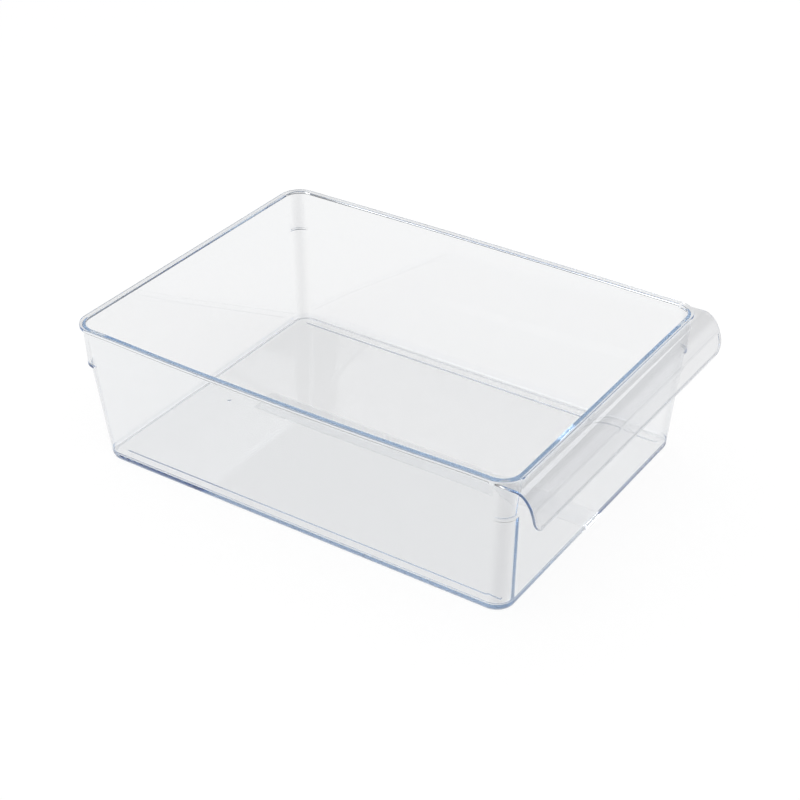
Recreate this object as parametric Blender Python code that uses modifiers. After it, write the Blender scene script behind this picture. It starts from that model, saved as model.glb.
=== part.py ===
"""Clear moulded fridge bin with a full-width pull handle, as the named sections of its moulding.

Lengths are in metres and +Z is up. The origin is at the middle of the space that the bin takes up, on the shelf.
The handle is at -Y and the back of the bin at +Y.
"""
import math

import bmesh
import bpy

# Overall sizes: the rim is measured outside, without the handle
rim_length = 0.320
rim_width = 0.2387
bin_height = 0.0987
side_bow = 0.0020

# Rim: a flat flange around the mouth
rim_radius = 0.0154
rim_depth = 0.0022
rim_overhang = 0.0020

# Walls, which lean in towards the base by the insets
wall_thickness = 0.0020
side_base_inset = 0.0097
front_base_inset = 0.0075
rear_base_inset = 0.0110
corner_radius = 0.0126
step_run = 0.0010

# Shoulders: the wider upper corners and the ledges that carry them
ledge_height = 0.0692
ledge_thickness = 0.0020
shoulder_base_inset = 0.0024

# Base: floor, rounded cove, and the foot that the bin stands on
floor_top = 0.0028
floor_thickness = 0.0018
cove_radius = 0.0040
foot_height = 0.0020
foot_step = 0.0009
foot_width = 0.0030

# Ribs on the floor, and the runner under it
rib_side_gap = 0.0205
rib_width = 0.0016
rib_height = 0.0007
rib_round = 0.0003
rib_front_gap = 0.0155
rib_rear_gap = 0.0230
runner_width = 0.0192
runner_rear_gap = 0.0580

# Handle: a sheet that leaves the rim level and curves down like a quarter of an ellipse
handle_flat = 0.0015
handle_curve_reach = 0.0145
handle_drop = 0.0241
handle_thickness = 0.0020
handle_corner_radius = 0.0100
crease_share = 0.5

# Space between one section and the next, and how far cutters pass what they cut
seam = 0.0003
overrun = 0.0050

# Fineness of the round stretches
corner_steps = 8
bow_steps = 8
cove_steps = 4
curve_steps = 6
edge_round_steps = 6

# Places worked out from the sizes above
half_width = rim_width / 2
half_length = rim_length / 2
handle_reach = handle_flat + handle_curve_reach
rim_centre_y = handle_reach / 2
rim_front_y = rim_centre_y - half_length
rim_rear_y = rim_centre_y + half_length
rim_bottom = bin_height - rim_depth
wall_top = rim_bottom - seam
floor_under = floor_top - floor_thickness
cove_top = floor_top + cove_radius
cove_inset = wall_thickness + cove_radius
rib_offset = half_width - rib_side_gap
corner_reach = max(side_base_inset, front_base_inset, rear_base_inset) + corner_radius + 2 * step_run
handle_top = rim_bottom - seam
base_insets = {"left": side_base_inset, "right": side_base_inset, "front": front_base_inset, "rear": rear_base_inset}
corner_sides = (("front", "left"), ("front", "right"), ("rear", "left"), ("rear", "right"))

# Colours: the flat panels are nearly colourless, and edges look bluer
panel_colour = (0.86, 0.90, 0.92, 1.0)
corner_colour = (0.72, 0.80, 0.90, 1.0)
edge_colour = (0.50, 0.64, 0.84, 1.0)
handle_colour = (0.78, 0.82, 0.86, 1.0)
plastic_roughness = 0.05
plastic_ior = 1.58


def clear_scene():
    """Removes what a new file holds."""
    for thing in list(bpy.data.objects):
        bpy.data.objects.remove(thing)


def new_collection(name):
    """A collection of the scene."""
    collection = bpy.data.collections.new(name)
    bpy.context.scene.collection.children.link(collection)
    return collection


def clear_plastic(name, colour):
    """Clear glossy plastic of one tint."""
    material = bpy.data.materials.new(name + "_plastic")
    material.use_nodes = True
    shader = material.node_tree.nodes["Principled BSDF"]
    shader.inputs["Base Color"].default_value = colour
    shader.inputs["Roughness"].default_value = plastic_roughness
    shader.inputs["Metallic"].default_value = 0.0
    shader.inputs["IOR"].default_value = plastic_ior
    shader.inputs["Transmission Weight"].default_value = 1.0
    material.diffuse_color = colour
    return material


def add_object(name, mesh, collection, colour=None):
    """An object for a mesh, smooth where it is round, in its own plastic."""
    thing = bpy.data.objects.new(name, mesh)
    collection.objects.link(thing)
    if colour is not None:
        mesh.materials.append(clear_plastic(name, colour))
        mesh.shade_smooth()
        mesh.set_sharp_from_angle(angle=math.radians(35))
    return thing


def mesh_from(name, bm):
    """A mesh from a bmesh whose faces are turned outwards."""
    bmesh.ops.recalc_face_normals(bm, faces=bm.faces)
    mesh = bpy.data.meshes.new(name)
    bm.to_mesh(mesh)
    bm.free()
    return mesh


def loft(name, rows, collection, colour=None):
    """A closed solid through rows of points: the rows go once round the section, and the ends are capped."""
    bm = bmesh.new()
    lines = [[bm.verts.new(point) for point in row] for row in rows]
    for line, following in zip(lines, lines[1:] + lines[:1]):
        for i in range(len(line) - 1):
            bm.faces.new((line[i], line[i + 1], following[i + 1], following[i]))
    bm.faces.new([line[0] for line in lines])
    bm.faces.new([line[-1] for line in lines])
    return add_object(name, mesh_from(name, bm), collection, colour)


def block(name, low, high, collection, colour=None, round_edges=None, radius=0.0, steps=edge_round_steps):
    """A box between two corners, with the edges along one axis rounded if one is named."""
    bm = bmesh.new()
    bmesh.ops.create_cube(bm, size=1.0)
    size = [b - a for a, b in zip(low, high)]
    middle = [(a + b) / 2 for a, b in zip(low, high)]
    bmesh.ops.scale(bm, vec=size, verts=bm.verts)
    bmesh.ops.translate(bm, vec=middle, verts=bm.verts)
    if round_edges is not None:
        chosen = [edge for edge in bm.edges if round_edges(edge)]
        bmesh.ops.bevel(bm, geom=chosen, offset=radius, segments=steps, profile=0.5, affect="EDGES")
    return add_object(name, mesh_from(name, bm), collection, colour)


def boolean(target, tool, operation):
    """Cuts, joins or keeps what two solids share, as a modifier on the first."""
    modifier = target.modifiers.new(operation.lower() + "_" + tool.name, "BOOLEAN")
    modifier.operation = operation
    modifier.solver = "EXACT"
    modifier.object = tool
    tool.hide_render = True
    tool.display_type = "WIRE"


def wall_inset(side, z):
    """How far a wall's outer face is inside the rim's edge at a height."""
    share = z / rim_bottom
    return base_insets[side] + (rim_overhang - base_insets[side]) * share


def shoulder_inset(z):
    """How far a shoulder's outer face is inside the rim's edge at a height."""
    share = (z - ledge_height) / (rim_bottom - ledge_height)
    return shoulder_base_inset + (rim_overhang - shoulder_base_inset) * share


def corner_line(side_line, end_line, centre_u, centre_v, radius):
    """A corner in distances from the rim's two edges: wall, quarter arc, wall."""
    line = [(side_line, corner_reach), (side_line, centre_v + step_run)]
    for step in range(corner_steps + 1):
        angle = math.radians(90) * step / corner_steps
        line.append((centre_u - radius * math.cos(angle), centre_v - radius * math.sin(angle)))
    line.append((centre_u + step_run, end_line))
    line.append((corner_reach, end_line))
    return line


def placed(corner, line, z):
    """Puts a corner's line of distances at its place on the bin, at a height."""
    end, side = corner
    sign_x = -1 if side == "left" else 1
    sign_y = -1 if end == "front" else 1
    return [(sign_x * (half_width - u), rim_centre_y + sign_y * (half_length - v), z) for u, v in line]


def body_corner(corner, z, inset):
    """The rounded corner between two walls at a height, moved inwards by an inset."""
    end, side = corner
    side_line = wall_inset(side, z) + inset
    end_line = wall_inset(end, z) + inset
    radius = corner_radius - inset
    return placed(corner, corner_line(side_line, end_line, side_line + radius, end_line + radius, radius), z)


def shoulder_corner(corner, z, inset):
    """The wider upper corner, whose arc has the same centre as the rim's, moved inwards by an inset."""
    end, side = corner
    side_line = wall_inset(side, z) + inset
    end_line = wall_inset(end, z) + inset
    radius = rim_radius - shoulder_inset(z) - inset
    return placed(corner, corner_line(side_line, end_line, rim_radius, rim_radius, radius), z)


def rim_corner(corner, z, inset):
    """The rim's corner at a height, moved inwards by an inset."""
    return placed(corner, corner_line(inset, inset, rim_radius, rim_radius, rim_radius - inset), z)


def bow(share, z):
    """How far a long side bulges out: nothing at its ends and at the base, most at mid length at the rim."""
    return side_bow * (1 - share * share) * z / rim_bottom


def straight_line(side, z, inset, start=-1.0, stop=1.0):
    """A wall's line between two corners at a height; start and stop are shares of its half length."""
    points = []
    if side in ("left", "right"):
        sign = -1 if side == "left" else 1
        half_run = half_length - corner_reach - seam
        for step in range(bow_steps + 1):
            share = start + (stop - start) * step / bow_steps
            points.append((sign * (half_width - inset + bow(share, z)), rim_centre_y + half_run * share, z))
        return points
    sign = -1 if side == "front" else 1
    half_run = half_width - corner_reach - seam
    for share in (start, stop):
        points.append((half_run * share, rim_centre_y + sign * (half_length - inset), z))
    return points


def wall_line(side, z, inset, start=-1.0, stop=1.0):
    """The line of a leaning wall at a height, moved inwards by an inset."""
    return straight_line(side, z, wall_inset(side, z) + inset, start, stop)


def base_section(has_step):
    """The rounded bottom edge as heights and insets: foot, outer face, cove and the floor's edge."""
    section = []
    if has_step:
        section += [(0.0, foot_step), (foot_height, foot_step), (foot_height, 0.0)]
    else:
        section += [(0.0, 0.0)]
    section += [(cove_top, 0.0)]
    for step in range(cove_steps + 1):
        angle = math.radians(90) * step / cove_steps
        across = cove_radius * (1 - math.cos(angle))
        down = cove_radius * math.sin(angle)
        section.append((cove_top - down, wall_thickness + across))
    if has_step:
        section += [(floor_under, cove_inset), (floor_under, foot_step + foot_width), (0.0, foot_step + foot_width)]
    else:
        section += [(0.0, cove_inset)]
    return section


def wall_section():
    """A wall's section as heights and insets."""
    low = cove_top + seam
    return [(low, 0.0), (wall_top, 0.0), (wall_top, wall_thickness), (low, wall_thickness)]


def rim_section():
    """The rim's section as heights and insets."""
    inner = rim_overhang + wall_thickness
    return [(rim_bottom, 0.0), (bin_height, 0.0), (bin_height, inner), (rim_bottom, inner)]


def build_base(collection):
    """The rounded bottom edge: corners, sides, and a front in three lengths."""
    stepped = base_section(True)
    for corner in corner_sides:
        rows = [body_corner(corner, z, inset) for z, inset in stepped]
        loft("base_corner_" + "_".join(corner), rows, collection, corner_colour)
    for side in ("left", "right", "rear"):
        loft("base_rail_" + side, [wall_line(side, z, inset) for z, inset in stepped], collection, edge_colour)
    half_run = half_width - corner_reach - seam
    nose_share = runner_width / 2 / half_run
    gap_share = seam / half_run
    lengths = (("left", -1.0, -nose_share - gap_share, stepped),
               ("centre", -nose_share, nose_share, base_section(False)),
               ("right", nose_share + gap_share, 1.0, stepped))
    for name, start, stop, section in lengths:
        rows = [wall_line("front", z, inset, start, stop) for z, inset in section]
        loft("base_rail_front_" + name, rows, collection, edge_colour)


def build_walls(collection):
    """Four leaning walls between the corners."""
    for side in ("left", "right", "front", "rear"):
        rows = [wall_line(side, z, inset) for z, inset in wall_section()]
        loft("wall_" + side, rows, collection, panel_colour)


def build_corners(collection):
    """Each upright corner: a post, the ledge on it, and the wider shoulder above."""
    low = cove_top + seam
    post_top = ledge_height - seam
    ledge_top = ledge_height + ledge_thickness
    shoulder_low = ledge_top + seam
    for corner in corner_sides:
        ending = "_".join(corner)
        post = [body_corner(corner, low, 0.0), body_corner(corner, post_top, 0.0),
                body_corner(corner, post_top, wall_thickness), body_corner(corner, low, wall_thickness)]
        loft("corner_post_" + ending, post, collection, corner_colour)
        ledge = [shoulder_corner(corner, ledge_height, 0.0), shoulder_corner(corner, ledge_top, 0.0),
                 body_corner(corner, ledge_top, wall_thickness), body_corner(corner, ledge_height, wall_thickness)]
        loft("nesting_ledge_" + ending, ledge, collection, edge_colour)
        shoulder = [shoulder_corner(corner, shoulder_low, 0.0), shoulder_corner(corner, wall_top, 0.0),
                    shoulder_corner(corner, wall_top, wall_thickness),
                    shoulder_corner(corner, shoulder_low, wall_thickness)]
        loft("shoulder_" + ending, shoulder, collection, corner_colour)


def build_rim(collection):
    """The flange around the mouth: four rails and four corners."""
    section = rim_section()
    for side in ("left", "right", "front", "rear"):
        rows = [straight_line(side, z, inset) for z, inset in section]
        loft("rim_rail_" + side, rows, collection, edge_colour)
    for corner in corner_sides:
        rows = [rim_corner(corner, z, inset) for z, inset in section]
        loft("rim_corner_" + "_".join(corner), rows, collection, edge_colour)


def floor_outline():
    """The floor's outline inside the coves, once round."""
    inset = cove_inset + seam
    outline = []
    for corner, backwards in zip((("front", "left"), ("front", "right"), ("rear", "right"), ("rear", "left")),
                                 (False, True, False, True)):
        arc = body_corner(corner, floor_top, inset)[2:-2]
        outline += reversed(arc) if backwards else arc
    return outline


def build_floor(collection, cutters):
    """The floor plate, with two ribs on it and the runner under its middle."""
    bm = bmesh.new()
    face = bm.faces.new([bm.verts.new(point) for point in floor_outline()])
    grown = bmesh.ops.extrude_face_region(bm, geom=[face])
    lower = [item for item in grown["geom"] if isinstance(item, bmesh.types.BMVert)]
    bmesh.ops.translate(bm, vec=(0.0, 0.0, -floor_thickness), verts=lower)
    floor = add_object("floor_panel", mesh_from("floor_panel", bm), collection, panel_colour)
    for name, sign in (("left", -1), ("right", 1)):
        middle = sign * rib_offset
        low = (middle - rib_width / 2, rim_front_y + rib_front_gap, floor_top - floor_thickness / 2)
        high = (middle + rib_width / 2, rim_rear_y - rib_rear_gap, floor_top + rib_height)
        rib = block("rib_" + name, low, high, cutters,
                    round_edges=lambda edge: all(vert.co.z > floor_top for vert in edge.verts),
                    radius=rib_round, steps=2)
        boolean(floor, rib, "UNION")
    front_end = rim_front_y + wall_inset("front", 0.0) + cove_inset + seam
    low = (-runner_width / 2, front_end + step_run, 0.0)
    high = (runner_width / 2, rim_rear_y - runner_rear_gap, floor_under + floor_thickness / 2)
    runner = block("runner", low, high, cutters)
    boolean(floor, runner, "UNION")


def ellipse_point(angle):
    """A point of the handle's outer curve: the ellipse starts level at the flat and ends upright at the bottom."""
    y = rim_front_y - handle_flat - handle_curve_reach * math.sin(angle)
    z = handle_top - handle_drop + handle_drop * math.cos(angle)
    return y, z


def curved_sheet(name, start, stop, collection):
    """A stretch of the handle's curve, the whole width of the rim, given its thickness by Solidify."""
    bm = bmesh.new()
    chain = []
    for step in range(curve_steps + 1):
        y, z = ellipse_point(start + (stop - start) * step / curve_steps)
        chain.append(bm.verts.new((-half_width, y, z)))
    edges = [bm.edges.new(pair) for pair in zip(chain, chain[1:])]
    grown = bmesh.ops.extrude_edge_only(bm, edges=edges)
    far_end = [item for item in grown["geom"] if isinstance(item, bmesh.types.BMVert)]
    bmesh.ops.translate(bm, vec=(rim_width, 0.0, 0.0), verts=far_end)
    bmesh.ops.recalc_face_normals(bm, faces=bm.faces)
    if sum(face.normal.y for face in bm.faces) > 0.0:
        bmesh.ops.reverse_faces(bm, faces=bm.faces)
    mesh = bpy.data.meshes.new(name)
    bm.to_mesh(mesh)
    bm.free()
    sheet = add_object(name, mesh, collection, handle_colour)
    solidify = sheet.modifiers.new("thickness", "SOLIDIFY")
    solidify.thickness = handle_thickness
    solidify.offset = -1.0
    solidify.use_even_offset = True
    return sheet


def build_handle(collection, cutters):
    """The handle: a flat flange against the bin, a rolled top and an upright panel with rounded corners."""
    low = (-half_width, rim_front_y - handle_flat + seam, handle_top - handle_thickness)
    high = (half_width, rim_front_y + rim_radius, handle_top)
    flange = block("handle_flange", low, high, collection, handle_colour)
    inset = rim_overhang - seam
    low = (-half_width + inset, rim_front_y + inset, handle_top - handle_thickness - overrun)
    high = (half_width - inset, rim_rear_y - inset, handle_top + overrun)
    mouth = block("mouth_cutter", low, high, cutters,
                  round_edges=lambda edge: abs(edge.verts[0].co.z - edge.verts[1].co.z) > handle_thickness,
                  radius=rim_radius - inset, steps=corner_steps)
    boolean(flange, mouth, "DIFFERENCE")

    crease = math.radians(90) * crease_share
    seam_angle = seam / math.hypot(handle_curve_reach * math.cos(crease), handle_drop * math.sin(crease))
    curved_sheet("handle_roll", 0.0, crease, collection)
    panel = curved_sheet("handle_panel", crease + seam_angle, math.radians(90), collection)
    low = (-half_width, rim_front_y - handle_reach - overrun, handle_top - handle_drop)
    high = (half_width, rim_front_y + overrun, handle_top + overrun)
    middle_z = (low[2] + high[2]) / 2
    outline = block("panel_outline", low, high, cutters,
                    round_edges=lambda edge: abs(edge.verts[0].co.y - edge.verts[1].co.y) > overrun
                    and edge.verts[0].co.z < middle_z and edge.verts[1].co.z < middle_z,
                    radius=handle_corner_radius)
    boolean(panel, outline, "INTERSECT")


def main():
    """Builds every section of the bin."""
    clear_scene()
    bin_parts = new_collection("fridge_bin")
    cutters = new_collection("cutters")
    build_base(bin_parts)
    build_floor(bin_parts, cutters)
    build_walls(bin_parts)
    build_corners(bin_parts)
    build_rim(bin_parts)
    build_handle(bin_parts, cutters)


main()
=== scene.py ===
"""Clear plastic fridge bin with a full-width pull handle: its surfaces, plastic, light and camera."""

import math

import bmesh
import bpy
import numpy as np
from bpy.props import FloatProperty, FloatVectorProperty, PointerProperty
from mathutils import Matrix, Vector


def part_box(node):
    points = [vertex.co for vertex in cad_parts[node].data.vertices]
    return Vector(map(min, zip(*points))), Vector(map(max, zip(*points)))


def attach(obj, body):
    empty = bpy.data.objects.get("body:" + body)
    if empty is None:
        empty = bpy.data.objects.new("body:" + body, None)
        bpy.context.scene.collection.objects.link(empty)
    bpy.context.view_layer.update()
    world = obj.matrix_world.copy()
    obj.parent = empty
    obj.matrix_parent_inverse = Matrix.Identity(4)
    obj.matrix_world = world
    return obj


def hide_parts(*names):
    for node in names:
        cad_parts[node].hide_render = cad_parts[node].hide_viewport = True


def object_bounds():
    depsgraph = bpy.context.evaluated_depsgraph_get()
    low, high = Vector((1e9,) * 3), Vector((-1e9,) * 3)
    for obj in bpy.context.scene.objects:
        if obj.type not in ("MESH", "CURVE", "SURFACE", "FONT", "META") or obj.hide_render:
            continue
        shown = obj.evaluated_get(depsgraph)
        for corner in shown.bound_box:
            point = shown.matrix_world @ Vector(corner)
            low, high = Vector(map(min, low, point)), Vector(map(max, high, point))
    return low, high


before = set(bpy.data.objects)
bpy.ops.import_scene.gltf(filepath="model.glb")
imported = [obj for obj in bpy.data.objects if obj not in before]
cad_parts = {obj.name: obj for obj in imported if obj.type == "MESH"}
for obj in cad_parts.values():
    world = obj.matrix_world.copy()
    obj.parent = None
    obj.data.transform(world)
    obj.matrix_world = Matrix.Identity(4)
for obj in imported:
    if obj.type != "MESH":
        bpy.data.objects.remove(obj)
cad_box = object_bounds()

bl_info = {
    "name": "Clear fridge bin",
    "version": (1, 0, 0),
    "blender": (4, 5, 0),
    "location": "3D View > Sidebar > Fridge Bin",
    "description": "Makes a clear moulded fridge bin with a pull handle",
    "category": "Object",
}

BIN_NAME = "moulded_bin"

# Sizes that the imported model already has
rim_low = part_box("rim_corner_front_left")[0]
rim_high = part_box("rim_corner_rear_right")[1]
ledge_low, ledge_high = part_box("nesting_ledge_front_left")
handle_low, handle_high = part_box("handle_panel")
RIM_LENGTH = rim_high.y - rim_low.y
RIM_WIDTH = rim_high.x - rim_low.x
RIM_CENTRE_Y = (rim_high.y + rim_low.y) / 2
BIN_HEIGHT = cad_box[1].z
SIDE_BOW = cad_box[1].x - rim_high.x
HANDLE_REACH = rim_low.y - cad_box[0].y
FRONT, LEFT, REAR, RIGHT = "front", "left", "rear", "right"
WHITE = (1.0, 1.0, 1.0, 1.0)

# Fine sizes of the mesh, in metres
WELD_DISTANCE = 1e-6
SLIVER_EDGE = 1e-7
NO_LENGTH = 1e-9
LEAST_ROUND = 1e-5
RIB_ROUND = 0.0005
RUNNER_ROUND = 0.0002
RUNNER_FRONT_GAP = 0.0001
RUNNER_OVERLAP = 0.0002
GATE_ROOT = 0.0006
PANEL_FADE = 0.0005

# Rings of the flat faces, as shares of the way out from the middle
UNDERSIDE_RINGS = (0.0, 0.5, 0.97)
FLOOR_RINGS = (0.99, 0.5, 0.0)

# Lower and upper end of the block that frees the mouth, and how the faces are shaded
MOUTH_CUT = (0.08, 0.12)
SHARP_ANGLE = math.radians(40)
LARGE_FACE_WEIGHT = 100

# Grain of the plastic's faces: slow waves from the mould, and uneven polish as a multiple of the roughness
WAVE_SCALE = 14.0
WAVE_DETAIL = 1.0
WAVE_STRENGTH = 0.12
WAVE_DEPTH = 0.0006
POLISH_SCALE = 60.0
POLISH_DETAIL = 3.0
POLISH_RANGE = (0.4, 1.6)

# Where the plastic's roughness changes, and where shade and light are painted into its colour, in metres from
# the bin's middle and from the shelf. A pair holds the two ends of a gradual change. A corner's zone of
# painted shade moves out with height by its lean
WORN_HEIGHT = (0.00008, 0.00034)
# Zone of the painted shade in the four upright corners, whose tint is made greyer
CORNER_ACROSS = (0.1000, 0.1065)
CORNER_ACROSS_LEAN = 0.080
CORNER_ALONG = (0.1400, 0.1465)
CORNER_ALONG_LEAN = 0.075
# Where the painted shade over the whole handle begins
HANDLE_START = (RIM_LENGTH / -2 - 0.0025, RIM_LENGTH / -2 + 0.0010)
HANDLE_OUTSIDE = (RIM_LENGTH / -2 - 0.0040, RIM_LENGTH / -2 - 0.0020)
CUT_SIDE = (RIM_WIDTH / 2 - 0.0009, RIM_WIDTH / 2 - 0.0005)
CUT_BOTTOM = (handle_low.z + 0.0004, handle_low.z + 0.0009)
# The grip panel's painted light: from its edge inwards it is lightened towards white
PANEL_EDGE = (0.0, 0.0003)
PANEL_PAINTED_LIGHT = 0.25
# Painted shade: a grey line round the grip panel's recessed edge, its width, strength and colour
PANEL_LINE = (0.0001, 0.0004)
PANEL_SHADE_LINE_SHARE = 0.30
PANEL_SHADE_LINE_COLOUR = (0.30, 0.31, 0.33, 1.0)

# The stage: floor, room, lamps with their place and share of the power, and camera
FLOOR_LEVEL = -0.0003
FLOOR_REACH = 4.0
FLOOR_POINTS = 5
FLOOR_MATTE = 0.15
CEILING = (0.12, 0.45)
LAMPS = (("window_left", (-0.9, 0.5, 1.1), 1.0), ("window_right", (0.9, -0.4, 1.2), 0.6))
LAMP_SIZE = 0.7
LAMP_TARGET = (0.0, 0.0, 0.05)
SENSOR_WIDTH = 36.0
CAMERA_RIGHT = (0.54861, -0.83607, 0.00343)
CAMERA_UP = (0.44665, 0.29654, 0.84414)
BOUNCES = 256


def size(name, description, default):
    """A length that a user may change."""
    return FloatProperty(name=name, description=description, default=default, unit="LENGTH")


def share(name, description, default):
    """A number from 0 to 1 that a user may change."""
    return FloatProperty(name=name, description=description, default=default, min=0.0, max=1.0,
                         subtype="FACTOR")


def number(name, description, default, least=0.0):
    """A plain number that a user may change."""
    return FloatProperty(name=name, description=description, default=default, min=least)


def colour(name, description, default):
    """A colour that a user may change."""
    return FloatVectorProperty(name=name, description=description, default=default, size=3, min=0.0, max=1.0,
                               subtype="COLOR")


class ShellShape(bpy.types.PropertyGroup):
    """Sizes of the open box: walls, corners, rim and foot."""
    rim_length: size("Rim length", "Outside length of the rim, without the handle", RIM_LENGTH)
    rim_width: size("Rim width", "Outside width of the rim", RIM_WIDTH)
    height: size("Height", "Height of the rim's top above the shelf", BIN_HEIGHT)
    side_bow: size("Side bow", "How far a long side bulges out at mid length", SIDE_BOW)
    side_dip: size("Side dip", "How far a long rim sags at mid length", 0.0005)
    wall: size("Wall", "Thickness of the walls", 0.0020)
    rim_depth: size("Rim depth", "Depth of the rim's flange", 0.0022)
    rim_overhang: size("Rim overhang", "How far the rim stands out from the walls", 0.0020)
    rim_radius: size("Rim radius", "Outside radius of the rim's corners", 0.0154)
    corner_radius: size("Corner radius", "Outside radius of the upright corners", 0.0126)
    side_lean: size("Side lean", "Inset of a long side's foot from the rim", 0.0097)
    front_lean: size("Front lean", "Inset of the front's foot from the rim", 0.0075)
    rear_lean: size("Rear lean", "Inset of the rear's foot from the rim", 0.0110)
    ledge_height: size("Ledge height", "Height of the corner ledges", ledge_low.z)
    ledge_thickness: size("Ledge thickness", "Thickness of the corner ledges", ledge_high.z - ledge_low.z)
    shoulder_radius: size("Shoulder radius", "Outside radius of a shoulder at its ledge", 0.0080)
    inner_corner: size("Inner corner", "Radius of the upright corners inside", 0.0093)
    foot_height: size("Foot height", "Height of the upright edge round the foot", 0.0005)
    foot_round: size("Foot rounding", "Radius by which the walls draw in to the foot", 0.0060)
    foot_step: size("Foot step", "Depth of the step round the foot", 0.0009)
    foot_width: size("Foot width", "Width of the ring that the bin stands on", 0.0020)
    floor_top: size("Floor top", "Height of the floor's upper face", 0.0028)
    floor_thickness: size("Floor thickness", "Thickness of the floor", 0.0024)
    cove_radius: size("Cove radius", "Radius between the floor and the walls inside", 0.0029)
    edge_round: size("Edge rounding", "Radius of the moulding's small edges", 0.0004)
    rim_round: size("Rim rounding", "Radius of the rim's inner top edge", 0.0007)


class FloorShape(bpy.types.PropertyGroup):
    """Sizes of what is moulded on the floor: two ribs, the runner under it and the gate mark."""
    rib_side_gap: size("Rib gap", "Distance of a rib from the rim's side edge", 0.0205)
    rib_width: size("Rib width", "Width of a rib", 0.0024)
    rib_height: size("Rib height", "Height of a rib above the floor", 0.0005)
    rib_front_gap: size("Rib front gap", "Distance of a rib's end from the front rim", 0.0155)
    rib_rear_gap: size("Rib rear gap", "Distance of a rib's end from the rear rim", 0.0230)
    runner_width: size("Runner width", "Width of the runner under the floor", 0.0192)
    runner_rear_gap: size("Runner rear gap", "Distance of its end from the rear rim", 0.0580)
    gate_radius: size("Gate radius", "Radius of the gate mark", 0.0021)
    gate_height: size("Gate height", "Height of the gate mark", 0.0005)
    gate_place: FloatVectorProperty(
        name="Gate place", description="Place of the gate mark from the rim's middle",
        default=(-0.0128, 0.1206), size=2, unit="LENGTH")


class HandleShape(bpy.types.PropertyGroup):
    """Sizes of the pull handle."""
    reach: size("Reach", "How far the handle stands out from the rim", HANDLE_REACH)
    flat: size("Flat", "Length of the level stretch at the rim", 0.0015)
    top: size("Top", "Depth of the handle's upper face below the rim's", 0.0012)
    bottom: size("Bottom", "Height of the handle's lower edge", handle_low.z)
    sheet: size("Sheet", "Thickness of the handle", 0.0020)
    corner: size("Corner", "Radius of its two lower corners", 0.0100)
    panel_share: share("Panel share", "Where along the roll the grip panel begins", 0.58)
    panel_margin: size("Panel margin", "Distance of the grip panel from the edges", 0.0022)
    panel_recess: size("Panel recess", "How deep the grip panel is set in", 0.0004)


class PlasticLook(bpy.types.PropertyGroup):
    """Colour and gloss of the clear plastic."""
    tint: colour("Tint", "Light that one wall lets through", (0.985, 0.985, 0.985))
    # Painted shade, not smokier plastic: a greyer tint in the four upright corners
    corner_painted_shade: colour("Corner tint", "Light that the smokier corners let through", (0.88, 0.88, 0.885))
    # Painted shade: a greyer tint over the whole handle
    handle_painted_shade: colour("Handle tint", "Light that the handle lets through", (0.83, 0.83, 0.84))
    shade: colour("Shade", "Lamp light that one wall lets through", (0.96, 0.96, 0.97))
    depth_colour: colour("Depth colour", "Colour of long ways through the plastic", (0.12, 0.42, 0.74))
    depth_density: number("Depth density", "How fast that colour builds up, per metre", 8.0)
    edge_roughness: share("Edge roughness", "Roughness of the handle's cut edges", 0.35)
    worn_roughness: share("Worn roughness", "Roughness of the faces that it stands on", 0.6)
    roughness: share("Roughness", "Roughness of the polished faces", 0.02)
    ior: number("Index of refraction", "How strongly the plastic bends light", 1.57, least=1.0)


class StageLook(bpy.types.PropertyGroup):
    """Floor, light and camera."""
    lens: FloatProperty(
        name="Lens", description="Focal length of the camera", default=82.44, unit="CAMERA")
    eye: FloatVectorProperty(
        name="Eye", description="Place of the camera", default=(-0.83393, -0.54545, 0.67192), size=3,
        subtype="TRANSLATION")
    ambient: number("Ambient", "Strength of the even light on the scene", 0.9)
    ceiling: share("Ceiling", "Brightness of the room overhead", 0.25)
    floor_seen: share("Floor seen", "Brightness of the floor where the plastic shows it", 0.94)
    lamp_power: number("Lamp power", "Power of the soft lamps", 4.0)


def side_share(shape, y):
    """One at mid length of a long side and nothing at its corners, leaving both without a kink:
    (1 - s^2)(1 - s^8), where s runs from -1 at the front corner to 1 at the rear one."""
    reach = max(shape.side_lean, shape.rear_lean) + shape.corner_radius
    s = np.clip((y - RIM_CENTRE_Y) / (shape.rim_length / 2 - reach), -1.0, 1.0)
    return (1 - s ** 2) * (1 - s ** 8)


def wall_inset(shape, side, z):
    """Inset of a wall's outer face from the rim's edge. It falls in a straight line from foot to rim."""
    leans = {LEFT: shape.side_lean, RIGHT: shape.side_lean, FRONT: shape.front_lean, REAR: shape.rear_lean}
    lean = leans[side]
    return lean + (shape.rim_overhang - lean) * z / (shape.height - shape.rim_depth)


def corner_run(side_line, end_line, radius, reach, steps=32):
    """A corner as distances from the side's and the end's edge. It is the quarter circle that touches both
    walls' lines: line + radius (1 - cos a) from the side and line + radius (1 - sin a) from the end."""
    a = np.linspace(0.0, math.pi / 2, steps + 1)
    u = np.concatenate(([side_line], side_line + radius * (1 - np.cos(a)), [reach]))
    v = np.concatenate(([reach], end_line + radius * (1 - np.sin(a)), [end_line]))
    return u, v


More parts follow.
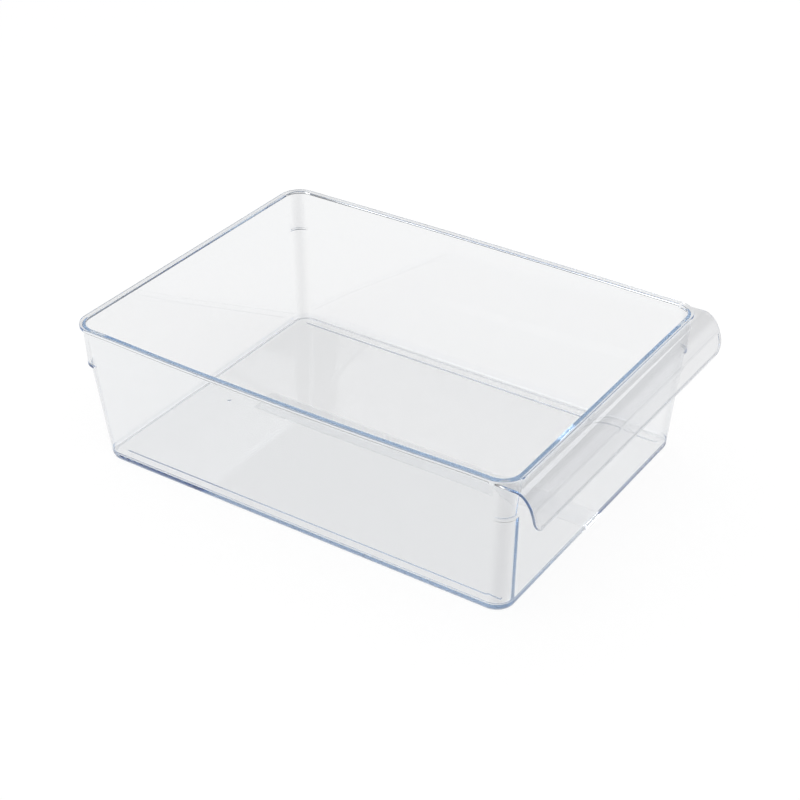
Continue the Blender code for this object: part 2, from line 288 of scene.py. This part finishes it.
def outline(shape, kind, z, inset, inner=False, side_steps=24, end_steps=10):
    """The outline once round the bin at a height, anticlockwise from the front left corner, moved inwards by
    an inset. The kind is body, shoulder or rim. A shoulder's radius changes in a straight line from its ledge
    to the rim, where it is the rim's own less the overhang."""
    half_width, half_length = shape.rim_width / 2, shape.rim_length / 2
    reach = max(shape.side_lean, shape.rear_lean) + shape.corner_radius + shape.wall + shape.cove_radius
    if kind == "body":
        radius = shape.inner_corner if inner else shape.corner_radius - inset
    elif kind == "shoulder":
        risen = (z - shape.ledge_height) / (shape.height - shape.rim_depth - shape.ledge_height)
        high = shape.rim_radius - shape.rim_overhang
        radius = shape.shoulder_radius + (high - shape.shoulder_radius) * risen - inset
    else:
        radius = shape.rim_radius - inset
    corners = ((FRONT, LEFT, False), (FRONT, RIGHT, True), (REAR, RIGHT, False), (REAR, LEFT, True))
    runs = []
    for end, side, backwards in corners:
        side_line = inset if kind == "rim" else wall_inset(shape, side, z) + inset
        end_line = inset if kind == "rim" else wall_inset(shape, end, z) + inset
        u, v = corner_run(side_line, end_line, radius, reach)
        x = (-1 if side == LEFT else 1) * (half_width - u)
        y = RIM_CENTRE_Y + (-1 if end == FRONT else 1) * (half_length - v)
        run = np.stack((x, y), axis=1)
        runs.append(run[::-1] if backwards else run)
    points = []
    for i, steps in enumerate((end_steps, side_steps, end_steps, side_steps)):
        points.append(runs[i])
        points.append(np.linspace(runs[i][-1], runs[(i + 1) % 4][0], steps + 2)[1:-1])
    points = np.concatenate(points)
    row = np.column_stack((points, np.full(len(points), z)))
    return bowed(shape, row)


def bowed(shape, row):
    """Bulges a long side outwards in step with its height, and lets its rim dip: x grows by the bow times its
    share and the level, and z shrinks by the dip times its share over the height."""
    along = side_share(shape, row[:, 1])
    level = np.minimum(row[:, 2] / (shape.height - shape.rim_depth), 1.0)
    row[:, 0] *= 1 + shape.side_bow * along * level / (shape.rim_width / 2)
    row[:, 2] *= 1 - shape.side_dip * along / shape.height
    return row


def rounded(rows, radii, steps=4, support=1.3, most=0.35):
    """Rounds a chain of rows where a radius is given: each sharp point becomes a quadratic curve
    (1-t)^2 a + 2t(1-t) p + t^2 b between points that lie the radius before and behind it, at most a fixed
    share of the way to the nearer row. A row of support stands just beyond each end of the curve."""
    result = []
    for i, (p, radius) in enumerate(zip(rows, radii)):
        if radius <= 0.0:
            result.append(p)
            continue
        back, ahead = rows[i - 1] - p, rows[i + 1] - p
        back_length = np.linalg.norm(back, axis=1, keepdims=True)
        ahead_length = np.linalg.norm(ahead, axis=1, keepdims=True)
        d = np.minimum(radius, most * np.minimum(back_length, ahead_length))
        back = back / np.maximum(back_length, NO_LENGTH) * d
        ahead = ahead / np.maximum(ahead_length, NO_LENGTH) * d
        result.append(p + back * support)
        for t in np.linspace(0.0, 1.0, steps + 1):
            result.append(p + (1 - t) ** 2 * back + t ** 2 * ahead)
        result.append(p + ahead * support)
    return np.array(result)


def shell_rows(shape, foot_steps=6, cove_steps=8):
    """The shell's rows of points, from the middle of its underside over the foot, wall and rim to the middle
    of its floor. The wall draws in to the foot by R (1 - cos a), and the cove inside is a quarter circle."""
    r = shape.edge_round
    floor_under = shape.floor_top - shape.floor_thickness
    cove_top = shape.floor_top + shape.cove_radius
    rim_bottom = shape.height - shape.rim_depth
    rim_inner = shape.rim_overhang + shape.wall
    ledge_top = shape.ledge_height + shape.ledge_thickness
    foot_inner = shape.foot_step + shape.foot_width
    rows, radii = [], []

    def add(kind, z, inset, radius=0.0, inner=False):
        rows.append(outline(shape, kind, z, inset, inner))
        radii.append(radius)

    def spread(z, inset, shares, inner=False):
        edge = outline(shape, "body", z, inset, inner)
        middle = np.array([0.0, RIM_CENTRE_Y, z])
        for out in shares:
            rows.append(middle + (edge - middle) * out)
            radii.append(0.0)

    spread(floor_under, foot_inner, UNDERSIDE_RINGS)
    add("body", floor_under, foot_inner, r)
    add("body", 0.0, foot_inner, r)
    add("body", 0.0, shape.foot_step, r)
    add("body", shape.foot_height, shape.foot_step)
    first = math.acos(1 - shape.foot_step / shape.foot_round)
    for a in np.linspace(first, 0.0, foot_steps + 1)[1:]:
        up = shape.foot_round * (math.sin(first) - math.sin(a))
        add("body", shape.foot_height + up, shape.foot_round * (1 - math.cos(a)))
    add("body", shape.ledge_height, 0.0, r)
    add("shoulder", shape.ledge_height, 0.0, r)
    add("shoulder", rim_bottom, 0.0, r)
    add("rim", rim_bottom, 0.0, r)
    add("rim", shape.height, 0.0, r)
    add("rim", shape.height, rim_inner, shape.rim_round)
    add("shoulder", ledge_top, shape.wall, r)
    add("body", ledge_top, shape.wall, r, inner=True)
    for a in np.linspace(0.0, math.pi / 2, cove_steps + 1):
        across = shape.cove_radius * (1 - math.cos(a))
        down = shape.cove_radius * math.sin(a)
        add("body", cove_top - down, shape.wall + across, inner=True)
    spread(shape.floor_top, shape.wall + shape.cove_radius, FLOOR_RINGS, inner=True)
    return rounded(rows, radii)


def grid_faces(rows, columns, closed_rows, closed_columns):
    """Indices of the four corners of every cell of a grid of points, going round where the grid closes."""
    i = np.arange(rows if closed_rows else rows - 1)[:, None]
    j = np.arange(columns if closed_columns else columns - 1)[None, :]
    ni, nj = (i + 1) % rows, (j + 1) % columns
    corners = np.stack((i * columns + j, i * columns + nj, ni * columns + nj, ni * columns + j), axis=-1)
    return corners.reshape(-1, 4)


def surface_object(name, points, closed_rows=False, closed_columns=True, capped=False):
    """An object from a grid of points, with its seams and poles welded and its faces turned outwards."""
    rows, columns = points.shape[:2]
    mesh = bpy.data.meshes.new(name)
    faces = grid_faces(rows, columns, closed_rows, closed_columns).tolist()
    if capped:
        faces += [list(range(columns)), list(range((rows - 1) * columns, rows * columns))]
    mesh.from_pydata(points.reshape(-1, 3), [], faces)
    bm = bmesh.new()
    bm.from_mesh(mesh)
    bmesh.ops.remove_doubles(bm, verts=bm.verts, dist=WELD_DISTANCE)
    bmesh.ops.dissolve_degenerate(bm, edges=bm.edges, dist=SLIVER_EDGE)
    bmesh.ops.recalc_face_normals(bm, faces=bm.faces)
    if bm.calc_volume(signed=True) < 0.0:
        bmesh.ops.reverse_faces(bm, faces=bm.faces)
    bm.to_mesh(mesh)
    bm.free()
    thing = bpy.data.objects.new(name, mesh)
    bpy.context.scene.collection.objects.link(thing)
    return thing


def combine(target, tool, operation):
    """Joins a tool to the target, or cuts it out, for good, and removes the tool."""
    modifier = target.modifiers.new(operation, "BOOLEAN")
    modifier.operation = operation
    modifier.solver = "EXACT"
    modifier.object = tool
    bpy.context.view_layer.update()
    graph = bpy.context.evaluated_depsgraph_get()
    result = bpy.data.meshes.new_from_object(target.evaluated_get(graph))
    target.modifiers.clear()
    old = target.data
    target.data = result
    result.name = target.name
    bpy.data.meshes.remove(old)
    bpy.data.objects.remove(tool)
    if not result.polygons:
        raise RuntimeError(f"{operation} left nothing of {target.name}")


def rounded_box(name, low, high, radius, steps=4):
    """A box with rounded edges: the section across it is a rectangle with quarter-circle corners, carried
    along y, and the section draws in by r (1 - sin t) at r (1 - cos t) from each end."""
    low, high = np.array(low), np.array(high)
    a = np.linspace(0.0, math.pi / 2, steps + 1)
    angles = np.concatenate([a + quarter * math.pi / 2 for quarter in range(4)])
    sign_x = np.repeat((1.0, -1.0, -1.0, 1.0), steps + 1)
    sign_z = np.repeat((1.0, 1.0, -1.0, -1.0), steps + 1)
    half = (high - low) / 2
    middle = (high + low) / 2
    rows = []
    stations = [(low[1] + radius * (1 - math.cos(t)), radius * (1 - math.sin(t))) for t in a]
    stations += [(high[1] - radius * (1 - math.cos(t)), radius * (1 - math.sin(t))) for t in a[::-1]]
    for y, inset in stations:
        x = sign_x * (half[0] - radius) + (radius - inset) * np.cos(angles)
        z = sign_z * (half[2] - radius) + (radius - inset) * np.sin(angles)
        rows.append(np.column_stack((middle[0] + x, np.full(len(x), y), middle[2] + z)))
    return surface_object(name, np.array(rows), capped=True)


def disc_mark(name, centre, radius, height, below, around=32, steps=6):
    """A low round mark: its height falls from the middle to the edge as a cosine, h cos(pi s / 2) at a share
    s of the radius, and it has a flat underside."""
    angles = np.linspace(0.0, 2 * math.pi, around, endpoint=False)
    shares = np.linspace(0.0, 1.0, steps + 1)
    profile = [(0.0, -below), (radius, -below)]
    profile += [(radius * s, height * math.cos(s * math.pi / 2)) for s in shares[::-1]]
    rows = [np.column_stack((centre[0] + r * np.cos(angles), centre[1] + r * np.sin(angles),
                             np.full(len(angles), centre[2] + z))) for r, z in profile]
    return surface_object(name, np.array(rows))


def handle_path(handle, shape, root_y, steps=28, flat_steps=5):
    """The handle's upper line seen from the side: level as far as the flat, then a quarter of an ellipse
    (reach sin a, drop cos a) down to its lower edge. Gives points, inward normals and the length so far."""
    front = RIM_CENTRE_Y - shape.rim_length / 2
    top = shape.height - handle.top
    reach, drop = handle.reach - handle.flat, top - handle.bottom
    a = np.linspace(0.0, math.pi / 2, steps + 1)
    level = np.linspace(root_y, front - handle.flat, flat_steps + 1)[:-1]
    y = np.concatenate((level, front - handle.flat - reach * np.sin(a)))
    z = np.concatenate((np.full(flat_steps, top), top - drop + drop * np.cos(a)))
    line = np.column_stack((y, z))
    tangent = np.gradient(line, axis=0)
    tangent[:flat_steps] = (-1.0, 0.0)
    tangent[-1] = (0.0, -1.0)
    tangent /= np.linalg.norm(tangent, axis=1, keepdims=True)
    inward = np.column_stack((-tangent[:, 1], tangent[:, 0]))
    length = np.concatenate(([0.0], np.cumsum(np.linalg.norm(np.diff(line, axis=0), axis=1))))
    return line, inward, length


def crease_place(handle, shape, length):
    """How far along the handle's line the grip panel begins."""
    return shape.rim_radius + handle.panel_share * (length[-1] - shape.rim_radius)


def eased(t):
    """A step from 0 to 1 without a kink at either end: 3t^2 - 2t^3."""
    t = np.clip(t, 0.0, 1.0)
    return 3 * t ** 2 - 2 * t ** 3


def handle_solid(name, handle, shape, root_y, edge=0.00095, across_steps=16, edge_steps=5, corner_steps=9,
                 fade_steps=4, quarter_steps=4):
    """The handle's sheet: a flat section with rounded ends carried along the side line. Its half width
    shrinks over the lower corners as c - sqrt(c^2 - (c-h)^2) at a height h above the lower edge, and its
    thickness over the last of the edge in the same way. The grip panel is set in by an eased step at its
    margin and at its crease."""
    line, inward, length = handle_path(handle, shape, root_y)
    total = length[-1]
    start = crease_place(handle, shape, length)
    fades = handle.panel_margin + PANEL_FADE * np.linspace(0.0, 1.0, fade_steps + 1)
    turn = np.sin(np.linspace(0, math.pi / 2, corner_steps + 1))
    lengths = np.unique(np.concatenate((
        length[length < total - edge], total - np.linspace(edge, 0.0, edge_steps + 1),
        total - handle.corner * (1 - turn), total - fades, start + fades - handle.panel_margin)))
    line = np.column_stack([np.interp(lengths, length, line[:, k]) for k in range(2)])
    inward = np.column_stack([np.interp(lengths, length, inward[:, k]) for k in range(2)])
    inward /= np.linalg.norm(inward, axis=1, keepdims=True)
    left_over = total - lengths
    into_corner = np.clip(handle.corner - left_over, 0.0, handle.corner)
    into_edge = np.clip(edge - left_over, 0.0, edge)
    half = shape.rim_width / 2 - (handle.corner - np.sqrt(handle.corner ** 2 - into_corner ** 2))
    thin = edge - np.sqrt(edge ** 2 - into_edge ** 2)
    a = np.linspace(0.0, math.pi / 2, quarter_steps + 1)
    sides = np.concatenate(([0.0], fades, [fades[-1] + PANEL_FADE]))
    above_margin = eased((left_over - handle.panel_margin) / PANEL_FADE)
    set_in = handle.panel_recess * above_margin * eased((lengths - start) / PANEL_FADE)
    rows = []
    for i in range(len(lengths)):
        r = max(edge - thin[i], LEAST_ROUND)
        flat = half[i] - r
        low, high = thin[i] + r, handle.sheet - thin[i] - r
        inner = np.linspace(sides[-1] - flat, flat - sides[-1], across_steps)[1:-1]
        run = np.concatenate((sides - flat, inner, flat - sides[::-1]))
        face = low - r + set_in[i] * eased((flat - np.abs(run) - handle.panel_margin) / PANEL_FADE)
        x = np.concatenate((run, flat + r * np.sin(a[1:]), flat + r * np.cos(a[1:]),
                            -run[1:], -flat - r * np.sin(a[1:]), -flat - r * np.cos(a[1:-1])))
        back = np.full(len(run) - 1, high + r)
        depth = np.concatenate((face, low - r * np.cos(a[1:]), high + r * np.sin(a[1:]),
                                back, high + r * np.cos(a[1:]), low - r * np.sin(a[1:-1])))
        place = line[i] + depth[:, None] * inward[i]
        rows.append(np.column_stack((x, place)))
    return surface_object(name, np.array(rows), capped=True)


def add_node(tree, kind, inputs, **settings):
    """A new node with its settings made. Each input is set to a value or linked from an output."""
    node = tree.nodes.new("ShaderNode" + kind)
    for name, value in settings.items():
        setattr(node, name, value)
    for name, value in inputs.items():
        if isinstance(value, bpy.types.NodeSocket):
            tree.links.new(value, node.inputs[name])
        else:
            node.inputs[name].default_value = value
    return node


def ramp(tree, value, span, to_low=0.0, to_high=1.0, interpolation="SMOOTHSTEP"):
    """A value that goes from the low to the high result over a span, and stays level outside it."""
    inputs = {"Value": value, "From Min": span[0], "From Max": span[1], "To Min": to_low, "To Max": to_high}
    return add_node(tree, "MapRange", inputs, interpolation_type=interpolation).outputs["Result"]


def maths(tree, operation, *values):
    """The result of one sum on numbers or outputs."""
    return add_node(tree, "Math", dict(enumerate(values)), operation=operation).outputs[0]


def mixed(tree, factor, first, second):
    """A colour between two, by a factor."""
    inputs = {"Factor": factor, "A": first, "B": second}
    return add_node(tree, "Mix", inputs, data_type="RGBA").outputs["Result"]


def tint_and_painted_shade(tree, look, handle, crease, x, y, z, outside):
    """The plastic's tint with shade and light painted in: painted shade in the four corners and over the
    handle, painted light on its grip panel, and a painted shade line round the panel's recessed edge. How far
    in the panel a point lies is its least distance from the sides, lower edge and crease."""
    away_x, away_y = maths(tree, "ABSOLUTE", x), maths(tree, "ABSOLUTE", y)
    across = maths(tree, "SUBTRACT", away_x, maths(tree, "MULTIPLY", z, CORNER_ACROSS_LEAN))
    along = maths(tree, "SUBTRACT", away_y, maths(tree, "MULTIPLY", z, CORNER_ALONG_LEAN))
    # Painted shade in the four upright corners
    corner = maths(tree, "MULTIPLY", ramp(tree, across, CORNER_ACROSS), ramp(tree, along, CORNER_ALONG))
    tint_with_painted_light_and_shade = mixed(tree, corner, (*look.tint, 1.0), (*look.corner_painted_shade, 1.0))
    # Painted shade over the whole handle
    grip = ramp(tree, y, HANDLE_START, 1.0, 0.0)
    tint_with_painted_light_and_shade = mixed(tree, grip, tint_with_painted_light_and_shade, (*look.handle_painted_shade, 1.0))
    from_sides = maths(tree, "SUBTRACT", RIM_WIDTH / 2 - handle.panel_margin, away_x)
    from_bottom = maths(tree, "SUBTRACT", z, handle_low.z + handle.panel_margin)
    from_ends = maths(tree, "MINIMUM", from_bottom, maths(tree, "SUBTRACT", crease, z))
    inward = maths(tree, "MINIMUM", from_sides, from_ends)
    # Painted light: the grip panel is lightened towards white
    panel = maths(tree, "MULTIPLY", outside, ramp(tree, inward, PANEL_EDGE))
    tint_with_painted_light_and_shade = mixed(tree, maths(tree, "MULTIPLY", panel, PANEL_PAINTED_LIGHT), tint_with_painted_light_and_shade, WHITE)
    # Painted shade: a grey line round the grip panel's recessed edge
    painted_shade_line = ramp(tree, maths(tree, "ABSOLUTE", inward), PANEL_LINE, PANEL_SHADE_LINE_SHARE, 0.0)
    return mixed(tree, maths(tree, "MULTIPLY", outside, painted_shade_line), tint_with_painted_light_and_shade, PANEL_SHADE_LINE_COLOUR)


def uneven_roughness(tree, look, place, x, z, outside):
    """The faces' roughness: uneven polish, worn where the bin stands, and satin on the handle's cut edges."""
    grain = add_node(tree, "TexNoise", {"Scale": POLISH_SCALE, "Detail": POLISH_DETAIL, "Vector": place})
    least, most = [times * look.roughness for times in POLISH_RANGE]
    polish = ramp(tree, grain.outputs["Fac"], (0.0, 1.0), least, most, "LINEAR")
    worn = ramp(tree, z, WORN_HEIGHT, look.worn_roughness, 0.0, "LINEAR")
    cut = maths(tree, "MAXIMUM", ramp(tree, maths(tree, "ABSOLUTE", x), CUT_SIDE),
                ramp(tree, z, CUT_BOTTOM, 1.0, 0.0))
    satin = maths(tree, "MULTIPLY", maths(tree, "MULTIPLY", outside, cut), look.edge_roughness)
    return maths(tree, "ADD", maths(tree, "ADD", polish, worn), satin)


def bin_plastic(look, handle, crease):
    """Clear plastic: a tint at each face, a bluer one along the way through, and slow waves from the mould in
    its faces. Light from lamps passes it, so it throws only a pale shadow."""
    material = bpy.data.materials.new("clear_bin_plastic")
    material.use_nodes = True
    tree = material.node_tree
    shader, output = tree.nodes["Principled BSDF"], tree.nodes["Material Output"]
    shader.inputs["Metallic"].default_value = 0.0
    shader.inputs["IOR"].default_value = look.ior
    shader.inputs["Transmission Weight"].default_value = 1.0

    place = add_node(tree, "TexCoord", {}).outputs["Object"]
    waves = add_node(tree, "TexNoise", {"Scale": WAVE_SCALE, "Detail": WAVE_DETAIL, "Vector": place})
    bump = add_node(tree, "Bump", {"Strength": WAVE_STRENGTH, "Distance": WAVE_DEPTH,
                                   "Height": waves.outputs["Fac"]})
    tree.links.new(bump.outputs["Normal"], shader.inputs["Normal"])

    parts = add_node(tree, "SeparateXYZ", {"Vector": place})
    x, z = parts.outputs["X"], parts.outputs["Z"]
    y = maths(tree, "SUBTRACT", parts.outputs["Y"], RIM_CENTRE_Y)
    outside = ramp(tree, y, HANDLE_OUTSIDE, 1.0, 0.0)
    tree.links.new(uneven_roughness(tree, look, place, x, z, outside), shader.inputs["Roughness"])
    tree.links.new(tint_and_painted_shade(tree, look, handle, crease, x, y, z, outside), shader.inputs["Base Color"])

    depth = add_node(tree, "VolumeAbsorption", {"Color": (*look.depth_colour, 1.0),
                                                "Density": look.depth_density})
    tree.links.new(depth.outputs["Volume"], output.inputs["Volume"])

    path = add_node(tree, "LightPath", {})
    clear = add_node(tree, "BsdfTransparent", {"Color": (*look.shade, 1.0)})
    lamps = add_node(tree, "MixShader", {"Fac": path.outputs["Is Shadow Ray"], 1: shader.outputs["BSDF"],
                                         2: clear.outputs["BSDF"]})
    tree.links.new(lamps.outputs["Shader"], output.inputs["Surface"])
    return material


def finish_surface(thing, material):
    """Shades the moulding smooth over its rounded edges, with its large faces kept flat."""
    mesh = thing.data
    mesh.materials.clear()
    mesh.materials.append(material)
    mesh.shade_smooth()
    mesh.set_sharp_from_angle(angle=SHARP_ANGLE)
    weighted = thing.modifiers.new("flat faces stay flat", "WEIGHTED_NORMAL")
    weighted.keep_sharp = True
    weighted.weight = LARGE_FACE_WEIGHT


class FRIDGEBIN_OT_shell(bpy.types.Operator):
    """Makes the open box: base, walls, corners with their ledges, and rim"""
    bl_idname = "fridgebin.shell"
    bl_label = "Moulded shell"

    def execute(self, context):
        shape = context.scene.bin_shell
        thing = surface_object(BIN_NAME, shell_rows(shape))
        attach(thing, "root")
        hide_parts(*[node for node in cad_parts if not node.startswith("handle")])
        return {"FINISHED"}


class FRIDGEBIN_OT_floor_details(bpy.types.Operator):
    """Moulds the two ribs, the runner and the gate mark onto the floor"""
    bl_idname = "fridgebin.floor_details"
    bl_label = "Floor details"

    def execute(self, context):
        shape, details = context.scene.bin_shell, context.scene.bin_floor
        thing = bpy.data.objects[BIN_NAME]
        front = RIM_CENTRE_Y - shape.rim_length / 2
        rear = RIM_CENTRE_Y + shape.rim_length / 2
        half = shape.rim_width / 2 - details.rib_side_gap
        root = shape.floor_top - shape.floor_thickness / 2
        for side in (-1, 1):
            low = (side * half - details.rib_width / 2, front + details.rib_front_gap, root)
            high = (side * half + details.rib_width / 2, rear - details.rib_rear_gap,
                    shape.floor_top + details.rib_height)
            combine(thing, rounded_box("rib", low, high, RIB_ROUND), "UNION")
        low = (-details.runner_width / 2, front + shape.front_lean + RUNNER_FRONT_GAP, 0.0)
        high = (details.runner_width / 2, rear - details.runner_rear_gap, root + RUNNER_OVERLAP)
        combine(thing, rounded_box("runner", low, high, RUNNER_ROUND), "UNION")
        centre = (details.gate_place[0], RIM_CENTRE_Y + details.gate_place[1], shape.floor_top)
        gate = disc_mark("gate", centre, details.gate_radius, details.gate_height, GATE_ROOT)
        combine(thing, gate, "UNION")
        return {"FINISHED"}


class FRIDGEBIN_OT_handle(bpy.types.Operator):
    """Moulds the pull handle onto the front rim"""
    bl_idname = "fridgebin.handle"
    bl_label = "Pull handle"

    def execute(self, context):
        shape, handle = context.scene.bin_shell, context.scene.bin_handle
        thing = bpy.data.objects[BIN_NAME]
        front = RIM_CENTRE_Y - shape.rim_length / 2
        sheet = handle_solid("handle", handle, shape, front + shape.rim_radius)
        inset = shape.rim_overhang + shape.wall / 2
        mouth = np.array([outline(shape, "rim", z, inset) for z in MOUTH_CUT])
        combine(sheet, surface_object("mouth", mouth, capped=True), "DIFFERENCE")
        combine(thing, sheet, "UNION")
        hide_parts("handle_flange", "handle_roll", "handle_panel")
        return {"FINISHED"}


class FRIDGEBIN_OT_plastic(bpy.types.Operator):
    """Gives the moulding its clear plastic"""
    bl_idname = "fridgebin.plastic"
    bl_label = "Clear plastic"

    def execute(self, context):
        shape, handle = context.scene.bin_shell, context.scene.bin_handle
        front = RIM_CENTRE_Y - shape.rim_length / 2
        line, _, length = handle_path(handle, shape, front + shape.rim_radius)
        crease = float(np.interp(crease_place(handle, shape, length), length, line[:, 1]))
        material = bin_plastic(context.scene.bin_plastic, handle, crease)
        finish_surface(bpy.data.objects[BIN_NAME], material)
        return {"FINISHED"}


def seen_rays(tree):
    """A value that is 1 on rays from the camera and on rays that gloss or glass sends on, else 0."""
    path = add_node(tree, "LightPath", {})
    total = path.outputs["Is Camera Ray"]
    for name in ("Is Glossy Ray", "Is Transmission Ray"):
        total = maths(tree, "MAXIMUM", total, path.outputs[name])
    return total


def make_world(look):
    """A room for what is seen, white at its walls and darker overhead, and even light for the rest."""
    world = bpy.data.worlds.new("white_room")
    bpy.context.scene.world = world
    world.use_nodes = True
    tree = world.node_tree
    place = add_node(tree, "TexCoord", {})
    parts = add_node(tree, "SeparateXYZ", {"Vector": place.outputs["Generated"]})
    room = ramp(tree, parts.outputs["Z"], CEILING, 1.0, look.ceiling)
    level = ramp(tree, seen_rays(tree), (0.0, 1.0), look.ambient, room, "LINEAR")
    background = tree.nodes["Background"]
    background.inputs["Color"].default_value = WHITE
    tree.links.new(level, background.inputs["Strength"])


def make_floor(look):
    """A wide pale floor: a flat grid of x and y, just under the foot. The camera sees it white, and the
    plastic shows it a little greyer."""
    span = np.linspace(-FLOOR_REACH, FLOOR_REACH, FLOOR_POINTS)
    x, y = np.meshgrid(span, span)
    points = np.stack((x, y, np.full(x.shape, FLOOR_LEVEL)), axis=-1)
    mesh = bpy.data.meshes.new("floor")
    faces = grid_faces(FLOOR_POINTS, FLOOR_POINTS, False, False)
    mesh.from_pydata(points.reshape(-1, 3), [], faces.tolist())
    floor = bpy.data.objects.new("floor", mesh)
    bpy.context.scene.collection.objects.link(floor)
    material = bpy.data.materials.new("pale_floor")
    material.use_nodes = True
    tree = material.node_tree
    tree.nodes.remove(tree.nodes["Principled BSDF"])
    matte = add_node(tree, "BsdfDiffuse", {"Color": (FLOOR_MATTE, FLOOR_MATTE, FLOOR_MATTE, 1.0)})
    path = add_node(tree, "LightPath", {})
    shown = ramp(tree, path.outputs["Is Camera Ray"], (0.0, 1.0), look.floor_seen - FLOOR_MATTE,
                 1.0 - FLOOR_MATTE, interpolation="LINEAR")
    strength = maths(tree, "MULTIPLY", seen_rays(tree), shown)
    white = add_node(tree, "Emission", {"Color": WHITE, "Strength": strength})
    both = add_node(tree, "AddShader", {0: matte.outputs["BSDF"], 1: white.outputs["Emission"]})
    tree.links.new(both.outputs["Shader"], tree.nodes["Material Output"].inputs["Surface"])
    mesh.materials.append(material)


def soft_lamp(name, place, power):
    """A square soft lamp that faces the bin."""
    data = bpy.data.lights.new(name, "AREA")
    data.shape = "SQUARE"
    data.size = LAMP_SIZE
    data.energy = power
    lamp = bpy.data.objects.new(name, data)
    lamp.location = place
    lamp.rotation_euler = (Vector(LAMP_TARGET) - Vector(place)).to_track_quat("-Z", "Y").to_euler()
    bpy.context.scene.collection.objects.link(lamp)


def make_camera(look):
    """The camera, turned by the directions of its right, up and back."""
    data = bpy.data.cameras.new("camera")
    data.lens = look.lens
    data.sensor_width = SENSOR_WIDTH
    camera = bpy.data.objects.new("camera", data)
    right, up = Vector(CAMERA_RIGHT), Vector(CAMERA_UP)
    back = right.cross(up).normalized()
    up = back.cross(right).normalized()
    turned = Matrix((right.normalized(), up, back)).transposed()
    camera.matrix_world = Matrix.Translation(look.eye) @ turned.to_4x4()
    bpy.context.scene.collection.objects.link(camera)
    bpy.context.scene.camera = camera


class FRIDGEBIN_OT_stage(bpy.types.Operator):
    """Sets up the pale floor, the soft light and the camera"""
    bl_idname = "fridgebin.stage"
    bl_label = "Stage"

    def execute(self, context):
        look = context.scene.bin_stage
        make_world(look)
        make_floor(look)
        for name, place, power in LAMPS:
            soft_lamp(name, place, power * look.lamp_power)
        make_camera(look)
        context.scene.view_settings.view_transform = "Standard"
        context.scene.cycles.max_bounces = BOUNCES
        context.scene.cycles.transmission_bounces = BOUNCES
        context.scene.cycles.glossy_bounces = BOUNCES
        return {"FINISHED"}


class FRIDGEBIN_PT_panel(bpy.types.Panel):
    """Buttons and sizes of the bin"""
    bl_idname = "FRIDGEBIN_PT_panel"
    bl_label = "Fridge bin"
    bl_space_type = "VIEW_3D"
    bl_region_type = "UI"
    bl_category = "Fridge Bin"

    def draw(self, context):
        layout = self.layout
        for operator in OPERATORS:
            layout.operator(operator.bl_idname)
        for name in GROUPS:
            box = layout.box()
            group = getattr(context.scene, name)
            for key in group.bl_rna.properties.keys():
                if key not in ("rna_type", "name"):
                    box.prop(group, key)


GROUPS = {
    "bin_shell": ShellShape,
    "bin_floor": FloorShape,
    "bin_handle": HandleShape,
    "bin_plastic": PlasticLook,
    "bin_stage": StageLook,
}
OPERATORS = (
    FRIDGEBIN_OT_shell,
    FRIDGEBIN_OT_floor_details,
    FRIDGEBIN_OT_handle,
    FRIDGEBIN_OT_plastic,
    FRIDGEBIN_OT_stage,
)


def register():
    for cls in (*GROUPS.values(), *OPERATORS, FRIDGEBIN_PT_panel):
        bpy.utils.register_class(cls)
    for name, group in GROUPS.items():
        setattr(bpy.types.Scene, name, PointerProperty(type=group))


def unregister():
    for name in GROUPS:
        delattr(bpy.types.Scene, name)
    for cls in reversed((*GROUPS.values(), *OPERATORS, FRIDGEBIN_PT_panel)):
        bpy.utils.unregister_class(cls)


def main():
    """Makes the bin and its stage."""
    register()
    bpy.ops.fridgebin.shell()
    bpy.ops.fridgebin.floor_details()
    bpy.ops.fridgebin.handle()
    bpy.ops.fridgebin.plastic()
    bpy.ops.fridgebin.stage()


if __name__ == "__main__":
    main()
